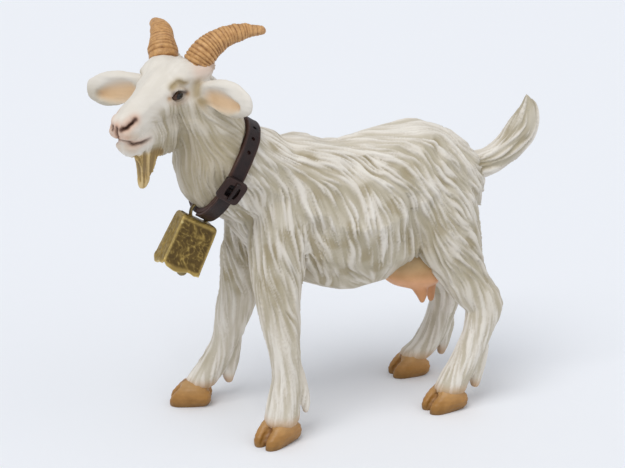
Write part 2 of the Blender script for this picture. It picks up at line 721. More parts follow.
def sculpt_body():
    bm = bmesh.new()
    runs = {"torso": np.vstack([swell(bm, TRUNK, 3), swell(bm, NECK_BASE, 2)])}
    for name, stations in LEGS.items():
        leg = swell(bm, stations, 3)
        feather = swell(bm, FEATHERS[name], 2)
        runs[name + "_leg"] = np.vstack([leg, feather])
    runs["tail"] = swell(bm, TAIL, 3)
    clay = Clay(bm, BODY_VOXEL, 24)

    # Hollows and folds that the eye reads as muscle.
    for s in (-1, 1):
        clay.stroke([(-7.5, s * 9.5, 36), (-8.2, s * 9.5, 31), (-9.0, s * 8.5, 27)], 1.7, -1.1)
        clay.stroke([(8.5, s * 9.5, 38), (8.6, s * 9.4, 32), (9.6, s * 8.4, 27)], 2.0, -1.0)
        clay.stroke([(-18.5, s * 7, 36.5), (-18.0, s * 7.5, 32), (-17.6, s * 7.0, 28)], 1.2, -0.5)
        clay.stroke([(-3, s * 7.5, 43), (4, s * 7.5, 43.4)], 2.4, -0.5)
        clay.stroke([(10.5, s * 5.5, 44.6), (13.5, s * 5.6, 44.0)], 1.8, 0.6)
    clay.stroke([(-15, 0, 47), (-11, 0, 47)], 2.0, 0.5)
    clay.stroke([(-6, 0, 46), (-1, 0, 46.3)], 2.4, -0.35)
    clay.relax(6)

    normals, height = grow_locks(clay, both_sides(BODY_COMB), 4.0, ((0.30, 6.0, 3), (0.22, 2.6, 4)),
                                 ((0.70, 0.33, 4.6, 11), (0.30, 0.75, 5.0, 23)))
    x, y, z = clay.co.T
    # Locks are deep on the trunk, and shallow on the belly, the back, the legs and over the hooves.
    on_leg = smoothstep(24, 17, z)
    depth = TRUNK_LOCKS * (1 - on_leg) + LEG_LOCKS * on_leg
    depth *= 1 - 0.6 * smoothstep(27.5, 23.0, z) * (1 - on_leg) * (np.abs(x) < 12)
    depth *= 1 - 0.55 * smoothstep(43.5, 47.5, z) * (1 - smoothstep(21, 24, x))
    depth *= 0.25 + 0.75 * smoothstep(3.4, 7.5, z)
    depth *= 1 - 0.5 * np.exp(-((z - 23) / 2.5) ** 2) * (np.abs(y) < 6)
    paler = 0.35 * smoothstep(0.45, 0.9, normals[:, 2]) * smoothstep(38, 42, z) + 0.22 * on_leg
    names = list(runs)
    owners = np.array([egg_reach(clay.co, runs[n]) for n in names])
    clay.co = clay.co + normals * (depth * (height - 0.5))[:, None]
    tuck_under_collar(clay)
    owners = np.vstack([owners, np.where(collar_height(clay.co) > -0.15, -NOT_THIS, NOT_THIS)])

    # Washes: tan over the hooves; grey-beige under the ribs, behind the elbow, on the flank and the chest.
    tan = smoothstep(5.2, 3.2, z) * 0.75
    shade = 0.30 * smoothstep(34, 24, z) * smoothstep(12, 19, z) + 0.06
    shade += 0.25 * np.exp(-((x + 8.5) / 2.0) ** 2 - ((z - 30) / 5) ** 2)
    shade += 0.75 * np.exp(-((x - 10.3) / 2.2) ** 2 - ((z - 28.5) / 5) ** 2)
    shade += 0.3 * np.exp(-((x + 17) / 2.5) ** 2 - ((z - 37) / 4) ** 2)
    deep = smoothstep(0.0, 0.7, lattice(clay.co / 2.6, 93)) * smoothstep(0.55, 0.15, height)
    deep = deep * (1 - smoothstep(0.6, 0.95, normals[:, 2])) * (1 - 0.6 * on_leg)
    values = {
        "groove": np.clip(height + paler, 0, 1),
        "shade": np.clip(shade * 0.6 + 0.7 * deep, 0, 0.75),
        "tan": tan,
    }
    pieces = split_pieces(clay, owners, names + [None], values)
    bpy.data.objects.remove(clay.piece)
    return pieces


BODY_VOXEL = 0.19
coat = painted_coat()
for name, piece in sculpt_body().items():
    piece.name = "coat_" + name
    ready(piece, coat, "coat", "goat", name)


# ------------------------------------------------------------------ head, sculpted finer than the body

SKULL = [
    (-4.0, 0, -0.3, 3.9, 3.8, 4.5),
    (-1.0, 0, -0.2, 3.9, 3.8, 4.3),
    (2.4, 0, -1.2, 3.5, 3.0, 3.6),
    (5.4, 0, -2.1, 3.0, 2.4, 3.0),
    (8.0, 0, -2.9, 2.6, 2.3, 2.5),
    (8.6, 0, -3.3, 2.55, 2.45, 2.3),
]
# The forehead's corner and the skin that climbs the horn's root, on the left.
BOSS = [
    (-1.9, 1.5, 2.2, 3.0, 2.9, 2.4),
    (-4.0, 2.6, 2.2, 3.1, 2.8, 2.0),
    (-4.9, 3.0, 2.8, 2.9, 2.5, 1.5),
]
JAW = [
    (-2.6, 0, -4.9, 3.4, 3.0, 4.8),
    (1.0, 0, -5.4, 3.2, 2.7, 4.3),
    (4.6, 0, -5.5, 2.7, 2.3, 2.6),
    (7.7, 0, -5.8, 2.4, 2.0, 2.1),
]
UPPER_NECK = [
    (-17.4, -0.8, 40.9, 7.9, 7.5, 8.0),
    (-20.3, -1.2, 43.4, 7.7, 7.5, 7.8),
    (-21.7, -1.5, 46.8, 6.6, 6.5, 7.0),
    (-23.8, -1.9, 51.2, 5.5, 5.3, 6.0),
    (-26.2, -2.3, 54.6, 4.8, 4.5, 4.8),
]
BEARD = [
    (4.7, 0, -7.2, 2.9, 1.5, 1.7),
    (4.5, 0, -8.9, 2.2, 1.3, 1.6),
    (4.9, 0, -10.5, 1.5, 1.0, 1.4),
    (5.5, 0, -11.9, 1.0, 0.75, 1.0),
    (5.8, 0, -12.7, 0.6, 0.5, 0.6),
]


def ear_run(side):
    """Root to tip; the right ear hangs a little lower and reaches a little further."""
    lift, reach = (0.9, 0.98) if side > 0 else (-0.9, 1.05)
    return [
        (-3.4, side * 3.4, -0.6, 1.4, 1.2, 1.3),
        (-3.0, side * 5.2 * reach, -0.5 + lift * 0.2, 1.2, 1.1, 1.6),
        (-2.5, side * 7.4 * reach, -0.6 + lift * 0.5, 1.0, 1.3, 2.2),
        (-2.1, side * 9.8 * reach, -0.9 + lift * 0.8, 0.9, 1.4, 2.8),
        (-1.8, side * 12.2 * reach, -1.2 + lift, 0.8, 1.3, 2.65),
        (-1.6, side * 14.0 * reach, -1.4 + lift, 0.65, 1.0, 1.8),
    ]


# Combing on the head, in its own axes, left side.
FACE_COMB = [
    ((6, 2, -2.5), (-0.9, 0.1, -0.3)), ((2.5, 3.3, -2.5), (-0.25, 0, -0.97)),
    ((0, 3.8, -3.0), (-0.10, 0, -1.0)),
    ((-2, 3.5, -3), (-0.25, 0, -0.97)), ((4.5, 2.4, -5.5), (-0.2, 0, -0.98)),
    ((1.5, 2.6, -7.0), (-0.15, 0, -0.99)),
    ((-2, 2.6, -8.0), (-0.3, 0, -0.95)), ((-5, 3.0, -2), (-0.5, 0, -0.86)), ((-4, 1.5, 4.3), (-0.9, 0, 0.3)),
    ((1.5, 0.8, 3), (-0.8, 0, 0.5)), ((-1.5, 3.9, 1.2), (-0.8, 0, -0.5)), ((-6.5, 2.5, 1.5), (-0.6, 0, -0.8)),
    ((-2.6, 7, -0.6), (0, 1, -0.1)), ((-2.2, 10, -1.0), (0, 1, -0.1)), ((5.2, 1, -8.5), (-0.1, 0, -1)),
    ((5.0, 0.6, -11), (0.1, 0, -1)),
]
# Combing on the upper neck, on the plan.
NECK_COMB = [
    ((-22, -7, 47), (0.62, 0, -0.78)), ((-25, -6, 50), (0.52, 0, -0.85)), ((-28.5, -2, 46), (0.30, 0, -0.95)),
    ((-27, -4, 42), (0.35, 0, -0.93)), ((-19, -3, 52), (0.62, -0.2, -0.76)),
    ((-17, -5, 48), (0.66, 0, -0.75)),
]


# How deep the sculpted hair is, in mm, and where the ears and the beard begin on the head's axes.
FACE_LOCKS, CHEEK_LOCKS, NECK_LOCKS, BEARD_LOCKS, EAR_LOCKS = 0.02, 0.34, 0.36, 0.45, 0.06
EAR_ROOT, BEARD_TOP = 4.3, -7.2


def seen_on_head(points, side=1):
    """Plan points from the head's own axes; side -1 mirrors them to its right."""
    return [on_head(f, side * l, u) for f, l, u in points]


def sculpt_head():
    bm = bmesh.new()
    swell(bm, SKULL, 3, ON_HEAD)
    swell(bm, JAW, 3, ON_HEAD)
    bosses = [swell(bm, [(f, side * l, u, *size) for f, l, u, *size in BOSS], 3, ON_HEAD)
              for side in (1, -1)]
    neck = swell(bm, UPPER_NECK, 3)
    runs = {"beard": swell(bm, BEARD, 3, ON_HEAD)}
    for side, name in ((1, "left_ear"), (-1, "right_ear")):
        runs[name] = swell(bm, ear_run(side), 4, ON_HEAD)
    clay = Clay(bm, HEAD_VOXEL, 30)

    def seen(points, side=1):
        return clay.on_skin(seen_on_head(points, side))

    paint = {key: np.zeros(len(clay.co)) for key in ("ink", "blush", "tan", "ochre", "shade")}

    def add(key, amount):
        paint[key] = np.maximum(paint[key], amount)

    for side in (1, -1):
        # Ears: a deep cup in front, its rim rolled at the top.
        run = ear_run(side)
        cup = seen_on_head([(f + 0.9, l * side, u - 0.75) for f, l, u, *_ in run[1:-1]], side)
        distance, share = clay.reach(cup)
        width = 0.6 + 1.15 * np.sin(np.pi * np.clip(share * 0.9 + 0.05, 0, 1))
        facing = np.clip(clay.normals() @ np.array(FORWARD) * 1.6, 0, 1)
        hollow = np.exp(-(distance / width) ** 4) * facing * smoothstep(0.02, 0.3, share)
        clay.co = clay.co - np.array(FORWARD) * (hollow * 1.0)[:, None]
        inner = np.exp(-(distance / (width * 0.92)) ** 3) * facing * smoothstep(0.05, 0.3, share)
        rim = [on_head(f + 0.5, l, u + up * 0.7) for f, l, u, _, _, up in run[1:-1]]
        clay.stroke(clay.on_skin(rim), 0.5, 0.35, towards=FORWARD)
        paint["inner_" + ("l" if side > 0 else "r")] = inner
        # Eye: a socket, a brow above it, and two lids round the ball.
        clay.stroke(seen([(0.7, 3.9, -0.15)], side), 1.25, -0.55)
        brow = [(3.0, 3.0, 0.9), (1.9, 3.4, 1.9), (0.4, 3.6, 2.35), (-1.4, 3.7, 2.0)]
        clay.stroke(seen(brow, side), 0.75, 0.42)
        clay.stroke(seen([(3.4, 2.9, -1.9), (1.6, 3.3, -2.2), (-0.6, 3.8, -2.0)], side), 0.9, 0.18)
        # Cheek bone, jaw muscle, and the hollow before it.
        clay.stroke(seen([(-1.2, 3.7, -3.8), (-2.2, 3.4, -5.6)], side), 1.7, 0.30)
        clay.stroke(seen([(3.4, 2.7, -3.6), (4.6, 2.3, -5.0)], side), 0.9, -0.22)
        clay.stroke(seen([(5.2, 1.7, -0.6), (8.6, 1.5, -1.6)], side), 0.8, 0.15)
    clay.soften(4)
    for side in (1, -1):
        upper = seen([(2.25, 3.2, -0.15), (1.65, 3.6, 0.52), (0.7, 3.8, 0.72), (-0.25, 3.8, 0.5),
                      (-0.95, 3.8, -0.05)], side)
        lower = seen([(2.25, 3.2, -0.25), (1.5, 3.6, -0.85), (0.6, 3.8, -0.98), (-0.3, 3.8, -0.75),
                      (-0.95, 3.8, -0.15)], side)
        clay.stroke(upper, 0.30, 0.50, taper=(0.1, 0.1))
        clay.stroke(lower, 0.26, 0.28, taper=(0.1, 0.1))
        crease = seen([(2.4, 3.1, 0.9), (1.6, 3.4, 1.6), (0.6, 3.6, 1.85), (-0.5, 3.7, 1.6),
                       (-1.2, 3.7, 1.0)], side)
        clay.stroke(crease, 0.24, -0.22)
        add("ochre", 0.95 * clay.spot(crease, 0.62, taper=(0.2, 0.2)))
        add("tan", 0.42 * clay.spot(upper, 0.42) + 0.45 * clay.spot(lower, 0.50))
        lash = clay.spot(upper, 0.14, taper=(0.3, 0.3))
        add("ink", 0.70 * clay.spot(lower, 0.20, taper=(0.3, 0.3)) + 0.6 * lash)
        add("ink", 0.80 * clay.spot(seen([(-0.05, 3.8, -0.15), (1.3, 3.6, -0.15)], side), 0.50, 3))
        # Nostril: a comma that runs up and back, with a soft wing over it.
        slit = seen([(10.8, 0.75, -2.9), (10.5, 1.4, -2.6), (9.9, 1.9, -2.0), (9.0, 2.2, -1.4)], side)
        add("ink", 0.95 * clay.spot(slit, 0.40, 3))
        add("blush", 0.80 * clay.spot(slit, 0.85))
        wing = seen([(10.9, 0.8, -2.3), (10.3, 1.5, -1.6), (9.3, 2.0, -1.0)], side)
        clay.stroke(slit, 0.34, -0.75, taper=(0.15, 0.2))
        clay.stroke(wing, 0.55, 0.30)
        clay.stroke(seen([(10.9, 1.2, -3.9), (10.2, 1.9, -3.5)], side), 0.6, 0.22)
        add("blush", 0.55 * clay.spot(seen([(11.0, 0.6, -3.9), (10.6, 1.4, -4.1)], side), 0.8))
        # Mouth.
        mouth = seen([(10.9, 0.0, -5.0), (10.3, 1.2, -5.25), (9.0, 2.0, -5.4), (7.3, 2.4, -5.35),
                      (5.4, 2.5, -5.2)], side)
        add("ink", 0.85 * clay.spot(mouth, 0.24, taper=(0, 0.3)))
        add("blush", 0.60 * clay.spot(mouth, 0.60, taper=(0, 0.5)))
        add("tan", 0.38 * clay.spot(seen([(10.2, 1.7, -3.9), (9.4, 2.1, -4.4)], side), 0.8))
        add("tan", 0.32 * clay.spot(seen([(10.3, 0.8, -6.0), (9.2, 1.6, -6.5)], side), 0.7))
        clay.stroke(mouth, 0.20, -0.55, taper=(0, 0.2))
        clay.stroke(seen([(10.5, 0.6, -5.9), (9.3, 1.6, -6.1), (7.8, 2.1, -6.0)], side), 0.42, 0.22)
        horn_root = seen([(-2.8, 4.4, 2.8), (-4.8, 5.0, 2.9), (-6.6, 4.2, 2.9)], side)
        add("blush", 0.40 * clay.spot(horn_root, 1.2))
        # Paint behind the eye and round the ear's root.
        add("ochre", 0.80 * clay.spot(seen([(-2.9, 3.9, 0.6), (-3.0, 4.0, -0.9)], side), 0.95))
        add("ochre", 0.85 * clay.spot(seen([(-2.2, 4.9, -1.3), (-1.9, 6.0, -1.5)], side), 0.95))
    groove = seen([(11.3, 0, -2.5), (11.2, 0, -3.4), (11.0, 0, -4.5)])
    add("ink", 0.85 * clay.spot(groove, 0.26))
    add("blush", 0.80 * clay.spot(groove, 0.9))
    clay.stroke(groove, 0.22, -0.45, taper=(0.1, 0.1))
    clay.soften(1)

    strokes = []
    for side in (1, -1):
        for (f, l, u), (df, dl, du) in FACE_COMB:
            way = HEAD_AXES @ Vector((df, side * dl, du))
            strokes.append((on_head(f, side * l, u), way))
    normals, height = grow_locks(clay, strokes + both_sides(NECK_COMB), 2.6, ((0.30, 4.0, 5), (0.2, 2.0, 6)),
                                 ((0.70, 0.28, 3.6, 31), (0.30, 0.65, 4.0, 37)))

    f, l, u = ((clay.co - np.array(HEAD_CENTRE)) @ np.array(HEAD_AXES)).T
    cheek = smoothstep(6.6, 3.0, f) * smoothstep(-0.4, -3.0, u) * smoothstep(1.2, 2.6, np.abs(l))
    under = smoothstep(7.5, 4.5, f) * smoothstep(-6.0, -7.2, u)
    neck_part = smoothstep(-4.0, -6.5, f)
    depth = FACE_LOCKS + CHEEK_LOCKS * np.maximum(cheek, under)
    depth = np.maximum(depth, NECK_LOCKS * neck_part)
    is_beard = egg_reach(clay.co, runs["beard"], ON_HEAD) < 1.4
    depth = np.where(is_beard & (u < BEARD_TOP), BEARD_LOCKS, depth)
    ear_gap = np.minimum(*(egg_reach(clay.co, runs[name], ON_HEAD) for name in ("left_ear", "right_ear")))
    on_ear = smoothstep(4.6, 6.0, np.abs(l)) * smoothstep(1.7, 1.25, ear_gap)
    inner = 0.85 * (paint.pop("inner_l") + paint.pop("inner_r"))
    depth = depth * (1 - on_ear) + EAR_LOCKS * on_ear
    clay.co = clay.co + normals * (depth * (height - 0.5))[:, None]
    tuck_under_collar(clay)

    combed = np.clip(depth / 0.22, 0, 1) * (1 - on_ear)
    paint["groove"] = np.clip(0.85 + (height - 0.85) * combed + 0.12 * neck_part, 0, 1)
    paint["inner"] = inner * on_ear
    paint["golden"] = np.where(is_beard, smoothstep(-7.0, -8.2, u), 0)
    throat = 0.3 * smoothstep(-7, -10, u) * smoothstep(-4, 2, f)
    paint["shade"] = np.clip(0.48 * cheek + 0.40 * under + throat, 0, 0.65)
    names = ["head", "left_ear", "right_ear", "beard", None]
    skull = np.minimum(egg_reach(clay.co, SKULL, ON_HEAD), egg_reach(clay.co, JAW, ON_HEAD))
    skull = np.minimum(skull, egg_reach(clay.co, neck))
    for boss in bosses:
        skull = np.minimum(skull, egg_reach(clay.co, boss))
    owners = [skull]
    for name in names[1:4]:
        within = u < BEARD_TOP if name == "beard" else np.abs(l) > EAR_ROOT
        owners.append(np.where(within, egg_reach(clay.co, runs[name], ON_HEAD), NOT_THIS))
    owners.append(np.where(collar_height(clay.co) < 0.15, -NOT_THIS, 11 * NOT_THIS))
    pieces = split_pieces(clay, np.array(owners), names, paint)
    bpy.data.objects.remove(clay.piece)
    return pieces


HEAD_VOXEL = 0.15
for name, piece in sculpt_head().items():
    piece.name = "coat_" + name if name != "beard" else "golden_beard"
    ready(piece, coat, {"head": "coat", "beard": "beard"}.get(name, "ear"), "goat", name)


# ------------------------------------------------------------------ small pieces: shared shaping

def frame_at(point, run, up):
    """A placing at a point whose local z runs along the piece and whose local y is nearest to up."""
    run = Vector(run).normalized()
    side = Vector(up).cross(run).normalized()
    lift = run.cross(side)
    matrix = Matrix((side, lift, run)).transposed().to_4x4()
    matrix.translation = Vector(point)
    return matrix


def loft(bm, rings, sides=32, values=None, closed_start=True, closed_end=True):
    """Pulls a circle through a list of placings; each ring's values go into the named layers."""
    layers = {key: bm.verts.layers.float.get(key) or bm.verts.layers.float.new(key) for key in (values or {})}
    made = bmesh.ops.create_circle(bm, segments=sides, radius=1, matrix=rings[0])
    verts = made["verts"]
    first = edges = list({e for v in verts for e in v.link_edges})

    def mark(verts, index):
        for key, layer in layers.items():
            for v in verts:
                v[layer] = values[key][index]

    mark(verts, 0)
    for index in range(1, len(rings)):
        made = bmesh.ops.extrude_edge_only(bm, edges=edges)["geom"]
        verts = [g for g in made if isinstance(g, bmesh.types.BMVert)]
        edges = [g for g in made if isinstance(g, bmesh.types.BMEdge)]
        bmesh.ops.transform(bm, matrix=rings[index] @ rings[index - 1].inverted(), verts=verts)
        mark(verts, index)
    if closed_start:
        bmesh.ops.edgeloop_fill(bm, edges=first)
    if closed_end:
        bmesh.ops.edgeloop_fill(bm, edges=edges)
    bmesh.ops.recalc_face_normals(bm, faces=bm.faces[:])


# ------------------------------------------------------------------ horns

HORN_PATH = [
    (-3.9, 2.5, 1.9, 1.9, 1.9), (-4.8, 3.1, 4.0, 2.4, 2.25), (-6.5, 3.9, 5.6, 2.15, 2.05),
    (-8.8, 5.1, 6.8, 1.8, 1.7),
    (-11.2, 6.7, 7.3, 1.35, 1.25), (-13.0, 8.2, 7.3, 0.95, 0.85), (-14.0, 8.9, 7.0, 0.6, 0.55),
]
HORN_RIBS = 26


def horn(side):
    path = curve_through(HORN_PATH, 32)
    lean = smoothstep(0.0, 1.0, np.linspace(0, 1, len(path))) if side < 0 else np.zeros(len(path))
    centres = [on_head(f + 0.3 * out, side * (l + 2.8 * out), u - 1.3 * out - 0.1)
               for (f, l, u, _, _), out in zip(path, lean)]
    rings, groove, along = [], [], []
    walked = 0.0
    total = sum((b - a).length for a, b in zip(centres[:-1], centres[1:]))
    count = len(path)
    for i, centre in enumerate(centres):
        if i:
            walked += (centre - centres[i - 1]).length
        share = walked / total
        run = centres[min(i + 1, count - 1)] - centres[max(i - 1, 0)]
        phase = share * HORN_RIBS + 0.25 * math.sin(share * 31 + side)
        valley = math.exp(-(abs(math.sin(math.pi * phase)) / 0.42) ** 1.6)
        notch = 0.12 * valley * (1 - 0.45 * share) * smoothstep(0.02, 0.16, share)
        swell_out = 1 + 0.035 * math.sin(share * 17 + side * 2) - notch
        tip = math.sqrt(max(1 - max(share - 0.955, 0) ** 2 / 0.045 ** 2, 0.02))
        thick = 0.95 if side > 0 else 0.92
        wide, deep = (path[i][k] * swell_out * tip * thick for k in (3, 4))
        rings.append(frame_at(centre, run, UP) @ Matrix.Diagonal((wide, deep, 1, 1)))
        groove.append(1 - valley)
        along.append(share)
    bm = bmesh.new()
    loft(bm, rings, 40, {"groove": groove, "along": along})
    underside = bm.verts.layers.float.new("under")
    bm.normal_update()
    ripple = lattice(np.array([tuple(v.co) for v in bm.verts]) / 0.9, 71)
    for v, lift in zip(bm.verts, ripple):
        v[underside] = max(0.0, -v.normal.dot(UP) * 0.9 + 0.1 * v.normal.dot(FORWARD))
        v.co += v.normal * 0.09 * lift
    return finish_bmesh(bm, ("left" if side > 0 else "right") + "_horn_ribbed")


def painted_horn():
    """PVC moulded with fine ribs, sprayed ochre and washed brown.
    It gives the eye dark lines between the ribs, and a satin sheen."""
    material, tree, shader = start_material("painted_pvc_horn")
    base = graded(tree, "groove", (0.05, "6e421a"), (0.45, "b37d48"), (1.0, "d3a169"))
    for cover, paint in (
            (graded(tree, "along", (0.0, "b0b0b0"), (0.30, "202020"), (1.0, "000000")), "93642f"),
            (graded(tree, "under", (0.15, "000000"), (1.0, "b8b8b8")), "85552a"),
            (graded(tree, "along", (0.75, "000000"), (1.0, "909090")), "e2b48e")):
        base = painted_over(tree, base, cover, paint)
    blotches = graded(tree, speckle(tree, 0.7, 4.0, 0.7), (0.38, "7d5026"), (0.62, "dcae70"))
    base = painted_over(tree, base, 0.40, blotches)
    last_coat(tree, shader, base, {"Roughness": 0.48, "IOR": PVC_IOR}, (0.3, 2.0, 0.25, 0.08))
    return material


horn_paint = painted_horn()
for side, name in ((1, "left_horn"), (-1, "right_horn")):
    ready(horn(side), horn_paint, "horn", "goat", name)


# ------------------------------------------------------------------ eyes

def eye(side):
    bm = bmesh.new()
    centre = on_head(0.68, side * 2.92, -0.16)
    place = Matrix.Translation(centre) @ HEAD_AXES.to_4x4() @ Matrix.Diagonal((1.05, 1.0, 0.66, 1))
    bmesh.ops.create_icosphere(bm, subdivisions=5, radius=1, matrix=place)
    iris = bm.verts.layers.float.new("iris")
    for v in bm.verts:
        p = HEAD_AXES.transposed() @ (v.co - centre)
        v[iris] = min(math.hypot(p.x / 0.80, p.z / 0.55), 1.5) if p.y * side > 0 else 1.5
    return finish_bmesh(bm, ("left" if side > 0 else "right") + "_eye_ball")


def painted_eye():
    """Gloss black lacquer over a thin dark-brown ring: a wet dot that catches the light."""
    material, tree, shader = start_material("gloss_lacquer_eye")
    base = graded(tree, "iris", (0.80, "070403"), (0.92, "1d0f08"), (1.0, "4a2e1a"))
    blotches = graded(tree, speckle(tree, 0.5), (0.4, "0b0706"), (0.6, "3a2416"))
    base = painted_over(tree, base, 0.06, blotches)
    last_coat(tree, shader, base,
              {"Roughness": 0.24, "IOR": 1.42, "Coat Weight": 0.15, "Coat Roughness": 0.05})
    return material


eye_paint = painted_eye()
for side, name in ((1, "left_eye"), (-1, "right_eye")):
    ready(eye(side), eye_paint, "eye", "goat", name)


# ------------------------------------------------------------------ udder

UDDER = [
    (7.2, -1.2, 25.2, 3.0, 3.8, 2.8), (10.0, -1.9, 24.2, 4.0, 4.4, 4.0), (13.0, -1.9, 23.7, 4.0, 4.2, 4.3),
    (15.2, -1.4, 24.6, 3.2, 3.8, 3.8),
]
TEATS = {
    "left": [(12.0, -3.2, 20.9, 1.5, 1.5, 1.3), (12.5, -3.4, 19.1, 0.95, 0.95, 0.9),
             (12.6, -3.4, 18.0, 0.5, 0.5, 0.6)],
    "right": [(14.9, -0.6, 21.2, 1.6, 1.6, 1.6), (15.4, -0.6, 18.9, 0.95, 0.95, 1.0),
              (15.6, -0.6, 17.1, 0.55, 0.55, 0.7)],
}


def sculpt_udder():
    bm = bmesh.new()
    swell(bm, UDDER, 3)
    for stations in TEATS.values():
        swell(bm, stations, 3)
    clay = Clay(bm, 0.22, 16)
    z = clay.co[:, 2]
    clay.stroke([(11.5, -0.9, 19.6), (11.5, -0.9, 20.8)], 0.9, -0.5, taper=(0, 0))
    normals = clay.normals()
    clay.co = clay.co + normals * (0.05 * lattice(clay.co / 1.4, 81))[:, None]
    low, teat = smoothstep(25.5, 20.5, z), smoothstep(21.2, 19.4, z)
    return finish_clay(clay, "udder_skin", {"low": low, "teat": teat})


def painted_udder():
    """Smooth moulded PVC, airbrushed peach below and olive brown above, with a soft skin-like sheen."""
    material, tree, shader = start_material("airbrushed_pvc_udder")
    base = graded(tree, "low", (0.0, "a08a60"), (0.45, "bd8f5e"), (0.8, "dda476"), (1.0, "e0a67c"))
    base = painted_over(tree, base, "teat", "c98c5c")
    blotches = graded(tree, speckle(tree, 2.2), (0.35, "bf8c5c"), (0.65, "e8b48a"))
    base = painted_over(tree, base, 0.2, blotches)
    last_coat(tree, shader, base, {"Roughness": 0.5, "IOR": PVC_IOR}, (0.35, 2.0, 0.2, 0.06))
    return material


ready(sculpt_udder(), painted_udder(), "udder", "goat", "udder")


# ------------------------------------------------------------------ hooves

# Middle of each sole, the way its toes point in degrees to the goat's left, and its length.
HOOVES = {
    "front_left": (-15.0, -9.2, 28, 7.6), "front_right": (-22.9, 10.5, -22, 7.0),
    "hind_left": (15.2, -7.3, 8, 7.2), "hind_right": (16.2, 8.4, -4, 6.8),
}
HOOF_HEIGHT = 4.2


def sculpt_hoof(name):
    x, y, toe, length = HOOVES[name]
    place = Matrix.Translation((x, y, 0)) @ Matrix.Rotation(math.radians(180 + toe), 4, "Z")
    half = length / 2
    bm = bmesh.new()
    for s in (1, -1):
        swell(bm, [
            (-half + 1.5, s * 1.25, 1.5, 1.5, 1.35, 1.7), (-0.2, s * 1.35, 1.9, 1.9, 1.4, 2.3),
            (half - 1.9, s * 1.25, 0.9, 1.75, 1.25, 1.6), (half - 0.9, s * 1.05, 0.3, 0.9, 0.85, 0.9),
        ], 3, place)
    swell(bm, [(-half + 1.8, 0, 2.3, 1.3, 2.3, 1.7), (-0.2, 0, 2.9, 2.1, 2.35, 1.5)], 1, place)
    clay = Clay(bm, 0.17, 10)
    front = [place @ Vector(p) for p in ((half + 0.2, 0, 0), (half - 0.8, 0, 1.6), (half - 2.2, 0, 3.2))]
    clay.stroke(front, 0.42, -0.7, taper=(0, 0.2))
    local = (clay.co - np.array(place.translation)) @ np.array(place.to_3x3())
    ripple = np.sin(local[:, 2] * 9.0 + 0.8 * lattice(clay.co / 1.6, 91))
    side_on = smoothstep(0.3, 1.0, local[:, 2])
    clay.co = clay.co + clay.normals() * (0.025 * ripple * side_on)[:, None]
    clay.co[:, 2] = np.maximum(clay.co[:, 2], 0.0)
    cleft = np.exp(-(np.abs(local[:, 1]) / 0.35) ** 2) * (local[:, 0] > 0)
    return finish_clay(clay, name + "_hoof_claws", {"height": clay.co[:, 2] / HOOF_HEIGHT, "cleft": cleft})


def painted_hoof():
    """Moulded PVC airbrushed tan, darker at the sole and in the cleft, with a low horn-like gloss."""
    material, tree, shader = start_material("airbrushed_pvc_hoof")
    base = graded(tree, "height", (0.0, "755528"), (0.22, "8f642a"), (0.5, "a8783c"), (0.9, "bb9361"))
    base = painted_over(tree, base, "cleft", "7a4f28")
    blotches = graded(tree, speckle(tree, 1.6), (0.35, "80581f"), (0.65, "c29254"))
    base = painted_over(tree, base, 0.22, blotches)
    last_coat(tree, shader, base, {"Roughness": 0.42, "IOR": PVC_IOR}, (0.3, 2.0, 0.2, 0.06))
    return material


hoof_paint = painted_hoof()
for name in HOOVES:
    ready(sculpt_hoof(name), hoof_paint, "hoof", "goat", name + "_hoof")


# ------------------------------------------------------------------ collar and buckle

COLLAR_AXES = Matrix((COLLAR_DOWN, COLLAR_LEFT, COLLAR_ALONG)).transposed()
COLLAR_PLACE = Matrix.Translation(COLLAR_CENTRE) @ COLLAR_AXES.to_4x4()
STRAP_HOLES = [2.05, 2.36, 2.67]      # angles round the strap, from the throat
FREE_END = 0.15, 1.30                 # from the tip of the free end to the buckle
# Sections of the band and of its free end, as (across, out), with a raised rim along both edges.
STRAP_SECTION = [(-1.2, -0.8), (1.2, -0.8), (1.2, -0.12), (1.08, 0.0),
                 (0.75, -0.04), (-0.75, -0.04), (-1.08, 0.0), (-1.2, -0.12)]
END_SECTION = [(-1.12, 0.02), (1.12, 0.02), (1.12, 0.34), (1.0, 0.44),
               (0.7, 0.40), (-0.7, 0.40), (-1.0, 0.44), (-1.12, 0.34)]


def collar_point(angle, out=0.0, along=0.0):
    """A point on the strap: angle is measured from the throat towards the goat's left."""
    x, y = COLLAR_LONG * math.cos(angle), COLLAR_WIDE * math.sin(angle)
    normal = Vector((COLLAR_WIDE * math.cos(angle), COLLAR_LONG * math.sin(angle), 0)).normalized()
    return COLLAR_PLACE @ (Vector((x, y, along + collar_bow(angle))) + normal * out)


def collar_frame(angle, out=0.0):
    """A placing on the strap: x across it towards the head, y along it, z outward."""
    normal = Vector((COLLAR_WIDE * math.cos(angle), COLLAR_LONG * math.sin(angle), 0)).normalized()
    z = (COLLAR_PLACE.to_3x3() @ normal).normalized()
    x = Vector(COLLAR_ALONG)
    y = z.cross(x)
    matrix = Matrix((x, y, z)).transposed().to_4x4()
    matrix.translation = collar_point(angle, out)
    return matrix


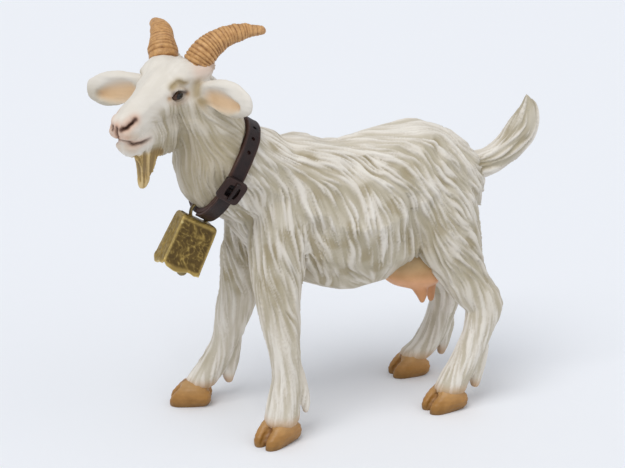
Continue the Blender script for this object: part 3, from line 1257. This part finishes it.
def strap():
    bm = bmesh.new()
    ring(bm, STRAP_SECTION, 0, 2 * math.pi, 180)
    band = finish_bmesh(bm, "collar_strap_band")
    tools = []
    for angle in STRAP_HOLES:
        cutter = bmesh.new()
        matrix = collar_frame(angle)
        bmesh.ops.create_cone(cutter, segments=24, radius1=0.30, radius2=0.34, depth=0.9, cap_ends=True,
                              matrix=matrix)
        tools.append(finish_bmesh(cutter, "punch", smooth=False))
    for tool in tools:
        cut = band.modifiers.new("punch", "BOOLEAN")
        cut.operation = "DIFFERENCE"
        cut.solver = "EXACT"
        cut.object = tool
    applied(band)
    for tool in tools:
        bpy.data.objects.remove(tool)
    # the free end, which comes out of the buckle and lies over the band towards the throat
    bm = bmesh.new()
    ring(bm, END_SECTION, *FREE_END, 36)
    tail = finish_bmesh(bm, "collar_strap_end")
    join_into(band, tail)
    mesh = band.data
    co = np.empty(len(mesh.vertices) * 3)
    mesh.vertices.foreach_get("co", co)
    co = co.reshape(-1, 3)
    plan = co * 1000 - np.array(PLAN_SHIFT)
    height = collar_height(plan)
    wave = 0.07 * lattice(plan / 2.4, 51) + 0.03 * lattice(plan / 1.1, 52)
    plan = plan + COLLAR_ALONG * wave[:, None]
    mesh.vertices.foreach_set("co", ((plan + np.array(PLAN_SHIFT)) / 1000).ravel())
    write_values(mesh, "edge", smoothstep(0.92, 1.15, np.abs(height)))
    around = np.zeros(len(mesh.vertices))
    for angle in STRAP_HOLES:
        gap = np.linalg.norm(plan - np.array(collar_point(angle)), axis=1)
        around = np.maximum(around, np.exp(-((gap - 0.45) / 0.16) ** 2))
        around = np.where(gap < 0.36, -1.0, around)
    inside = (np.array(collar_frame(BUCKLE_ANGLE).inverted()) @ np.c_[plan, np.ones(len(plan))].T)[:3]
    in_buckle = (np.abs(inside[0]) < 1.3) & (np.abs(inside[1]) < 1.4) & (inside[2] > -0.5)
    write_values(mesh, "worn", np.where(in_buckle, -0.45, around))
    shade_by_angle(band, 35)
    return band


def ring(bm, profile, first, last, steps):
    """Carries a closed profile (across, out) round the collar."""
    whole = abs(last - first - 2 * math.pi) < 1e-6
    verts = [bm.verts.new(collar_frame(first) @ Vector((x, 0, z))) for x, z in profile]
    loop = [bm.edges.new((a, b)) for a, b in zip(verts, verts[1:] + verts[:1])]
    opening = list(loop)
    for i in range(1, steps + (0 if whole else 1)):
        angle = first + (last - first) * i / steps
        made = bmesh.ops.extrude_edge_only(bm, edges=loop)["geom"]
        loop = [g for g in made if isinstance(g, bmesh.types.BMEdge)]
        verts = [g for g in made if isinstance(g, bmesh.types.BMVert)]
        move = collar_frame(angle) @ collar_frame(first + (last - first) * (i - 1) / steps).inverted()
        bmesh.ops.transform(bm, matrix=move, verts=verts)
    if whole:
        bmesh.ops.bridge_loops(bm, edges=opening + loop)
    else:
        bmesh.ops.edgeloop_fill(bm, edges=opening)
        bmesh.ops.edgeloop_fill(bm, edges=loop)
    bmesh.ops.recalc_face_normals(bm, faces=bm.faces[:])


def join_into(piece, extra):
    """Adds one object's mesh to another's."""
    bm = bmesh.new()
    bm.from_mesh(piece.data)
    bm.from_mesh(extra.data)
    bm.to_mesh(piece.data)
    bm.free()
    bpy.data.objects.remove(extra)


def shade_by_angle(piece, degrees):
    piece.data.polygons.foreach_set("use_smooth", [True] * len(piece.data.polygons))
    piece.data.set_sharp_from_angle(angle=math.radians(degrees))


BUCKLE_ANGLE = 1.32


def buckle():
    bm = bmesh.new()
    place = collar_frame(BUCKLE_ANGLE, 0.46) @ Matrix.Translation((0.15, 0, 0))
    wide, long, bar = 3.7, 3.7, 0.82
    outer = bmesh.ops.create_grid(bm, x_segments=1, y_segments=1, size=0.5,
                                  matrix=Matrix.Diagonal((wide, long, 1, 1)))["verts"]
    bmesh.ops.bevel(bm, geom=outer, offset=0.62, segments=5, profile=0.5, affect="VERTICES", material=-1)
    bmesh.ops.inset_region(bm, faces=bm.faces[:], thickness=bar, use_even_offset=True, use_boundary=True)
    inner = [f for f in bm.faces if all(not e.is_boundary for e in f.edges)
             and all(not any(x.is_boundary for x in v.link_edges) for v in f.verts)]
    bmesh.ops.delete(bm, geom=inner, context="FACES")
    made = bmesh.ops.extrude_face_region(bm, geom=bm.faces[:])["geom"]
    bmesh.ops.translate(bm, vec=(0, 0, 0.80), verts=[g for g in made if isinstance(g, bmesh.types.BMVert)])
    bmesh.ops.recalc_face_normals(bm, faces=bm.faces[:])
    sharp = [e for e in bm.edges if len(e.link_faces) == 2 and e.calc_face_angle() > 0.9]
    bmesh.ops.bevel(bm, geom=sharp, offset=0.16, segments=3, profile=0.5, affect="EDGES", material=-1)
    long_edges = [e for e in bm.edges if e.calc_length() > 0.5]
    bmesh.ops.subdivide_edges(bm, edges=long_edges, cuts=4, use_grid_fill=True)
    # curved to lie on the neck
    for v in bm.verts:
        v.co.z -= 0.050 * v.co.y ** 2 - 0.05
    rubbed = bm.verts.layers.float.new("edge")
    for v in bm.verts:
        v[rubbed] = 0.45 if v.co.z > 0.6 else 0.0
    bmesh.ops.transform(bm, matrix=place, verts=bm.verts[:])
    piece = finish_bmesh(bm, "collar_buckle_frame")
    shade_by_angle(piece, 40)
    return piece


def prong():
    bm = bmesh.new()
    place = collar_frame(BUCKLE_ANGLE, 1.46)
    rings = []
    for share, radius in ((0, 0.30), (0.08, 0.33), (0.5, 0.30), (0.85, 0.26), (0.96, 0.2), (1, 0.08)):
        y = -1.55 + 3.1 * share
        along = Matrix.Translation((0, y, -0.06 * y * y)) @ Matrix.Rotation(math.radians(-90), 4, "X")
        rings.append(place @ along @ Matrix.Diagonal((radius, radius, 1, 1)))
    loft(bm, rings, 24)
    return finish_bmesh(bm, "buckle_prong_pin")


def painted_strap():
    """PVC moulded as a leather strap and painted blackish brown: a soft satin with rubbed, warmer edges."""
    material, tree, shader = start_material("painted_pvc_strap")
    base = graded(tree, speckle(tree, 1.6), (0.3, "150b0b"), (0.7, "2a1714"))
    base = painted_over(tree, base, "edge", "41271f")
    # "worn" is above 0 on rubbed rims and below 0 in the punched holes
    worn = own_value(tree, "worn")
    rubbed = node(tree, "ShaderNodeMath", 0, {"operation": "MAXIMUM"}, {0: worn, 1: 0.0})
    base = painted_over(tree, base, rubbed, "4e3029")
    punched = node(tree, "ShaderNodeMath", 0, {"operation": "MULTIPLY", "use_clamp": True},
                   {0: worn, 1: -1.0})
    base = painted_over(tree, base, punched, "0c0606")
    last_coat(tree, shader, base, {"Roughness": 0.46, "IOR": 1.38}, (0.28, 2.0, 0.5, 0.12))
    return material


strap_paint = painted_strap()
ready(strap(), strap_paint, "strap", "goat", "collar_strap")
ready(buckle(), strap_paint, "strap", "goat", "collar_buckle")
ready(prong(), strap_paint, "strap", "goat", "buckle_prong")


# ------------------------------------------------------------------ bell

BELL_HINGE = Vector(COLLAR_CENTRE) + Vector(COLLAR_DOWN) * (COLLAR_LONG - STRAP_THICK / 2)
BELL_TILT = math.radians(27)
BELL_DOWN = Vector((-math.sin(BELL_TILT), 0, -math.cos(BELL_TILT)))
BELL_FORE = Vector((-math.cos(BELL_TILT), 0, math.sin(BELL_TILT)))
STAPLE_DROP = 1.2                     # from the hinge to the crown
STAPLE_LOOP = 1.645                   # radius of the loop, to the middle of its wire
STAPLE_THICK, STAPLE_BROAD = 0.45, 1.0
CLAPPER_DROP = STAPLE_DROP + 1.75     # from the hinge to the pin inside the bell
CLAPPER_LEAN = math.radians(10)
BELL_WALL = 0.4
BELL_HEIGHT = 8.3
BELL_TOP, BELL_MOUTH = (3.2, 1.9), (3.4, 2.4)      # half sizes: fore and aft, then side to side


def bell_place():
    """Local x is towards the bell's fore side, y towards its right face, z down from the crown."""
    matrix = Matrix((BELL_FORE, Vector((0, 1, 0)), BELL_DOWN)).transposed().to_4x4()
    matrix.translation = BELL_HINGE + BELL_DOWN * STAPLE_DROP
    return matrix


def bell_shell():
    bm = bmesh.new()
    around, rows = 160, 60
    bmesh.ops.create_cone(bm, segments=around, radius1=1, radius2=1, depth=1, cap_ends=False)
    upright = [e for e in bm.edges if abs(e.verts[0].co.z - e.verts[1].co.z) > 0.5]
    bmesh.ops.subdivide_edges(bm, edges=upright, cuts=rows - 1, use_grid_fill=False)
    relief_layer = bm.verts.layers.float.new("relief")
    edge_layer = bm.verts.layers.float.new("raised")
    verts = list(bm.verts)
    p = np.array([tuple(v.co) for v in verts])
    angle = np.arctan2(p[:, 1], p[:, 0])
    share = p[:, 2] + 0.5
    # a squared outline with small round corners
    c, s = np.cos(angle), np.sin(angle)
    power = 9.0
    grow = (np.abs(c) ** power + np.abs(s) ** power) ** (-1 / power)
    ux, uy = c * grow, s * grow
    wall = np.abs(ux) > np.abs(uy)
    across = np.where(wall, uy, ux)
    fore = BELL_TOP[0] + (BELL_MOUTH[0] - BELL_TOP[0]) * share
    side = BELL_TOP[1] + (BELL_MOUTH[1] - BELL_TOP[1]) * share
    shoulder = 0.30 * np.exp(-share / 0.035)
    # raised border, and leafy scrolls inside it
    border = np.maximum(smoothstep(0.80, 0.90, np.abs(across)),
                        np.maximum(smoothstep(0.90, 0.95, share), smoothstep(0.10, 0.05, share)))
    u, v = across * 2.4, (share - 0.5) * BELL_HEIGHT
    curl = lattice(np.stack([u * 1.9 + 0.8 * np.sin(2.2 * v), v * 1.6, ux * 3 + uy * 5], axis=1), 63) * 1.6
    stem = np.exp(-((u - 0.8 * np.sin(1.2 * v)) / 0.20) ** 2)
    ring_of_petals = np.exp(-((np.hypot(u, v + 1.6) - 0.9) / 0.5) ** 2)
    petals = 0.5 + 0.5 * np.cos(5 * np.arctan2(v + 1.6, u)) * ring_of_petals
    pattern = 0.60 * np.exp(-(np.abs(curl) / 0.22) ** 1.5) + 0.40 * stem + 0.30 * petals
    pattern = pattern * (1 - border)
    hammer = lattice(np.stack([ux * fore, uy * side, v], axis=1) / 0.7, 61) * 0.03
    lift = 0.17 * border + 0.13 * np.clip(pattern, 0, 1) + hammer - 0.16
    ripple = 0.20 * np.sin(across * math.pi * 1.6 + 0.8) * (1 - across ** 4) * smoothstep(0.86, 1.0, share)
    ripple = ripple + 0.12 * np.sin(angle * 5 + 1.0) * smoothstep(0.86, 1.0, share)
    x = ux * (fore - shoulder) + np.where(wall, np.sign(ux), 0) * lift
    y = uy * (side - shoulder) + np.where(wall, 0, np.sign(uy)) * lift
    z = share * (BELL_HEIGHT - 0.15) + ripple - 0.12 * ux * (1 - share) ** 2
    z = z - 0.70 * smoothstep(0.66, 1.0, np.abs(across)) * smoothstep(0.82, 1.0, share)
    border = np.where(wall, np.maximum(border, 0.7), border)
    for vert, a, b, d, r, e in zip(verts, x, y, z, np.clip(pattern, 0, 1), border):
        vert.co = (a, b, d)
        vert[relief_layer] = r
        vert[edge_layer] = e
    top = [e for e in bm.edges if e.is_boundary and e.verts[0].co.z < 1]
    crown = bmesh.ops.edgeloop_fill(bm, edges=top)["faces"]
    for drop in (0.05, 0.04, 0.02):
        bmesh.ops.inset_region(bm, faces=crown, thickness=0.28, use_even_offset=False)
        for vert in crown[0].verts:
            vert.co.z -= drop
    bmesh.ops.recalc_face_normals(bm, faces=bm.faces[:])
    bmesh.ops.transform(bm, matrix=bell_place(), verts=bm.verts[:])
    bmesh.ops.recalc_face_normals(bm, faces=bm.faces[:])
    piece = finish_bmesh(bm, "bell_shell_cast")
    wall_mod = piece.modifiers.new("wall", "SOLIDIFY")
    wall_mod.thickness = BELL_WALL / 1000
    wall_mod.offset = -1
    applied(piece)
    shade_by_angle(piece, 50)
    return piece


def staple():
    bm = bmesh.new()
    # the wire's section stands across the loop: out from the hinge, and along it
    profile = bmesh.ops.create_circle(bm, segments=16, radius=1, cap_ends=False)["verts"]
    for i, v in enumerate(profile):
        turn = 2 * math.pi * i / len(profile)
        out = STAPLE_LOOP + STAPLE_THICK / 2 * math.cos(turn)
        v.co = BELL_HINGE + BELL_DOWN * out + Vector((0, STAPLE_BROAD / 2 * math.sin(turn), 0))
    bmesh.ops.spin(bm, geom=bm.verts[:] + bm.edges[:], cent=BELL_HINGE, axis=(0, 1, 0), dvec=(0, 0, 0),
                   angle=2 * math.pi, steps=64, use_merge=True, use_duplicate=False)
    cut = bmesh.ops.bisect_plane(bm, geom=bm.verts[:] + bm.edges[:] + bm.faces[:], plane_no=BELL_DOWN,
                                 plane_co=BELL_HINGE + BELL_DOWN * (STAPLE_DROP - 0.02), clear_outer=True)
    rims = [g for g in cut["geom_cut"] if isinstance(g, bmesh.types.BMEdge)]
    bmesh.ops.holes_fill(bm, edges=rims, sides=0)
    bmesh.ops.recalc_face_normals(bm, faces=bm.faces[:])
    return finish_bmesh(bm, "bell_staple_loop")


def clapper():
    down = BELL_DOWN * math.cos(CLAPPER_LEAN) - BELL_FORE * math.sin(CLAPPER_LEAN)
    pin = BELL_HINGE + BELL_DOWN * CLAPPER_DROP
    bm = bmesh.new()
    turned = ((0.62, 0.26), (1.2, 0.26), (3.0, 0.28), (4.8, 0.32), (5.75, 0.42), (5.95, 0.6), (6.2, 0.76),
              (6.6, 0.85), (7.0, 0.76), (7.25, 0.55), (7.4, 0.25))
    rings = [frame_at(pin + down * distance, down, (0, 1, 0)) @ Matrix.Diagonal((radius, radius, 1, 1))
             for distance, radius in turned]
    loft(bm, rings, 28)
    knob = finish_bmesh(bm, "bell_clapper_drop")
    bm = bmesh.new()
    for i in range(12):
        a = 2 * math.pi * i / 12
        bm.verts.new(pin + down * (0.675 + 0.165 * math.cos(a)) + Vector((0, 0.28 * math.sin(a), 0)))
    loop = list(bm.verts)
    for a, b in zip(loop, loop[1:] + loop[:1]):
        bm.edges.new((a, b))
    bmesh.ops.spin(bm, geom=bm.verts[:] + bm.edges[:], cent=pin, axis=(0, 1, 0), dvec=(0, 0, 0),
                   angle=2 * math.pi, steps=36, use_merge=True, use_duplicate=False)
    bmesh.ops.recalc_face_normals(bm, faces=bm.faces[:])
    join_into(knob, finish_bmesh(bm, "eye"))
    shade_by_angle(knob, 60)
    return knob


def bell_pin():
    centre = BELL_HINGE + BELL_DOWN * CLAPPER_DROP
    half = BELL_TOP[1] - 0.45
    bm = bmesh.new()
    rings = [frame_at(centre + Vector((0, y, 0)), (0, 1, 0), BELL_DOWN) @ Matrix.Diagonal((r, r, 1, 1))
             for y, r in ((-half, 0.3), (-half + 0.06, 0.38), (half - 0.06, 0.38), (half, 0.3))]
    loft(bm, rings, 20)
    piece = finish_bmesh(bm, "bell_pin_rod")
    shade_by_angle(piece, 40)
    return piece


def old_gold():
    """Metallic antique-gold paint with umber rubbed into the low parts and bright, worn edges."""
    material, tree, shader = start_material("antique_gold_paint")
    base = graded(tree, "relief", (0.0, "503c18"), (0.35, "735c2a"), (0.9, "b0954f"))
    base = painted_over(tree, base, "raised", "b89b55")
    grime = graded(tree, speckle(tree, 0.8, 4.0, 0.65), (0.42, "a0a0a0"), (0.60, "000000"))
    base = painted_over(tree, base, grime, "3c2b10")
    sharp = node(tree, "ShaderNodeNewGeometry", "Pointiness")
    edges = graded(tree, sharp, (0.52, "000000"), (0.60, "e0e0e0"))
    base = painted_over(tree, base, edges, "e6d08e")
    last_coat(tree, shader, base, {"Metallic": 0.55, "Roughness": 0.40}, (0.35, 3.0, 0.4, 0.12))
    return material


gold = old_gold()
ready(bell_shell(), gold, "old_gold", "bell", "bell_shell")
ready(staple(), gold, "old_gold", "bell", "bell_staple")
ready(bell_pin(), gold, "old_gold", "bell", "bell_pin")
ready(clapper(), gold, "old_gold", "clapper", "bell_clapper")


# ------------------------------------------------------------------ floor, light and camera

def soft_light(name, direction, strength, softness, colour="ffffff"):
    """A far, broad studio light that shines along a direction; softness is its width in degrees."""
    lamp = bpy.data.lights.new(name, "SUN")
    lamp.energy = strength
    lamp.angle = math.radians(softness)
    lamp.color = srgb(colour)[:3]
    holder = bpy.data.objects.new(name, lamp)
    bpy.context.scene.collection.objects.link(holder)
    holder.rotation_euler = Vector(direction).to_track_quat("-Z", "Y").to_euler()
    return holder


FLOOR_HALF = 20000                    # wide enough that its edge shows in no view
VIEW_PLACE = (-90.54, -210.85, 100.73)
VIEW_DOWN, VIEW_ROUND = 17.2, -22     # degrees below level, and round from the left side

bm = bmesh.new()
bmesh.ops.create_grid(bm, x_segments=1, y_segments=1, size=FLOOR_HALF)
floor = finish_bmesh(bm, "studio_floor", smooth=False)
floor_material, tree, shader = start_material("pale_studio_paper")
shader.inputs["Base Color"].default_value = srgb("f0f2f6")
shader.inputs["Roughness"].default_value = 0.9
shader.inputs["Specular IOR Level"].default_value = 0.1
floor.data.materials.append(floor_material)

world = bpy.data.worlds.new("studio")
world.use_nodes = True
world.node_tree.nodes["Background"].inputs["Color"].default_value = srgb("eef1f6")
world.node_tree.nodes["Background"].inputs["Strength"].default_value = 0.64
bpy.context.scene.world = world
bpy.context.scene.view_settings.view_transform = "Standard"

soft_light("key_light", (0.50, 0.40, -1.0), 1.42, 38)
soft_light("side_light", (-0.9, 0.8, -0.55), 0.35, 60)

camera = bpy.data.cameras.new("view")
camera.lens = 86.4
camera.sensor_width = 36
camera.clip_start = 0.01
camera.clip_end = 60
viewer = bpy.data.objects.new("view", camera)
bpy.context.scene.collection.objects.link(viewer)
viewer.location = TO_METRES @ Vector(VIEW_PLACE)
viewer.rotation_euler = (math.radians(90 - VIEW_DOWN), 0, math.radians(VIEW_ROUND))
bpy.context.scene.camera = viewer

bpy.context.view_layer.update()
